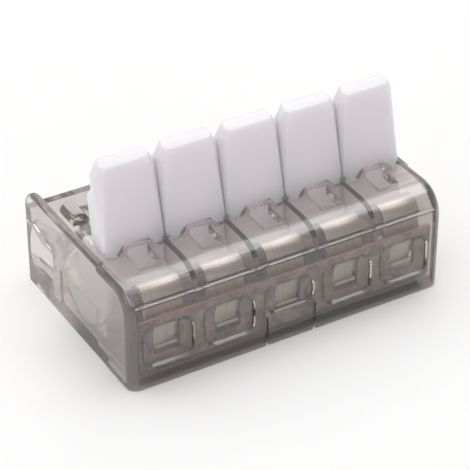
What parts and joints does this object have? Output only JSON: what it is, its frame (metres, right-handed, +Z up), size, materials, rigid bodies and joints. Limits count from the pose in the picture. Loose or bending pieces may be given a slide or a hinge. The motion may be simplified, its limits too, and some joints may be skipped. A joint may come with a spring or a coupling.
{
  "type": "lever wire connector",
  "caption": "Clear splicing connector with a row of white levers that open sprung clamps onto one shared busbar, with a round wire entry behind each lever.",
  "frame": {"origin": "middle of the bottom face", "axes": "+X along the row of poles, +Y towards the wire entries, +Z up, levers open"},
  "size_m": [0.0298, 0.0186, 0.0173],
  "materials": {
    "clear_housing": "clear moulded polycarbonate, faint smoky tint",
    "clear_cover": "clear moulded polycarbonate, faint smoky tint",
    "tinned_copper": "tin plate on copper sheet, bare copper at the sheared edges",
    "spring_steel": "rolled stainless spring strip",
    "white_lever": "smooth white moulding"
  },
  "bodies": {
    "root": {"housing": "clear_housing", "end_cover": "clear_cover", "busbar": "tinned_copper", "clamp_spring_1": "spring_steel", "clamp_spring_2": "spring_steel", "clamp_spring_3": "spring_steel", "clamp_spring_4": "spring_steel", "clamp_spring_5": "spring_steel"},
    "lever_1": {"lever_1": "white_lever"},
    "lever_2": {"lever_2": "white_lever"},
    "lever_3": {"lever_3": "white_lever"},
    "lever_4": {"lever_4": "white_lever"},
    "lever_5": {"lever_5": "white_lever"},
    "clamp_leg_1": {"clamp_leg_1": "spring_steel"},
    "clamp_leg_2": {"clamp_leg_2": "spring_steel"},
    "clamp_leg_3": {"clamp_leg_3": "spring_steel"},
    "clamp_leg_4": {"clamp_leg_4": "spring_steel"},
    "clamp_leg_5": {"clamp_leg_5": "spring_steel"}
  },
  "joints": [
    {"name": "lever_1_hinge", "type": "hinge", "parent": "root", "child": "lever_1", "pos_m": [-0.0113, -0.0007, 0.0056], "axis": [-1, 0, 0], "range_deg": [0, 81.5]},
    {"name": "lever_2_hinge", "type": "hinge", "parent": "root", "child": "lever_2", "pos_m": [-0.00565, -0.0007, 0.0056], "axis": [-1, 0, 0], "range_deg": [0, 81.5]},
    {"name": "lever_3_hinge", "type": "hinge", "parent": "root", "child": "lever_3", "pos_m": [0, -0.0007, 0.0056], "axis": [-1, 0, 0], "range_deg": [0, 81.5]},
    {"name": "lever_4_hinge", "type": "hinge", "parent": "root", "child": "lever_4", "pos_m": [0.00565, -0.0007, 0.0056], "axis": [-1, 0, 0], "range_deg": [0, 81.5]},
    {"name": "lever_5_hinge", "type": "hinge", "parent": "root", "child": "lever_5", "pos_m": [0.0113, -0.0007, 0.0056], "axis": [-1, 0, 0], "range_deg": [0, 81.5]},
    {"name": "clamp_leg_1_flex", "type": "hinge", "parent": "root", "child": "clamp_leg_1", "pos_m": [-0.0113, -0.0069, 0.00715], "axis": [-1, 0, 0], "range_deg": [0, 26.3]},
    {"name": "clamp_leg_2_flex", "type": "hinge", "parent": "root", "child": "clamp_leg_2", "pos_m": [-0.00565, -0.0069, 0.00715], "axis": [-1, 0, 0], "range_deg": [0, 26.3]},
    {"name": "clamp_leg_3_flex", "type": "hinge", "parent": "root", "child": "clamp_leg_3", "pos_m": [0, -0.0069, 0.00715], "axis": [-1, 0, 0], "range_deg": [0, 26.3]},
    {"name": "clamp_leg_4_flex", "type": "hinge", "parent": "root", "child": "clamp_leg_4", "pos_m": [0.00565, -0.0069, 0.00715], "axis": [-1, 0, 0], "range_deg": [0, 26.3]},
    {"name": "clamp_leg_5_flex", "type": "hinge", "parent": "root", "child": "clamp_leg_5", "pos_m": [0.0113, -0.0069, 0.00715], "axis": [-1, 0, 0], "range_deg": [0, 26.3]}
  ],
  "couplings": [
    {"joint": "clamp_leg_1_flex", "follows": "lever_1_hinge", "ratio": 0.32216},
    {"joint": "clamp_leg_2_flex", "follows": "lever_2_hinge", "ratio": 0.32216},
    {"joint": "clamp_leg_3_flex", "follows": "lever_3_hinge", "ratio": 0.32216},
    {"joint": "clamp_leg_4_flex", "follows": "lever_4_hinge", "ratio": 0.32216},
    {"joint": "clamp_leg_5_flex", "follows": "lever_5_hinge", "ratio": 0.32216}
  ]
}
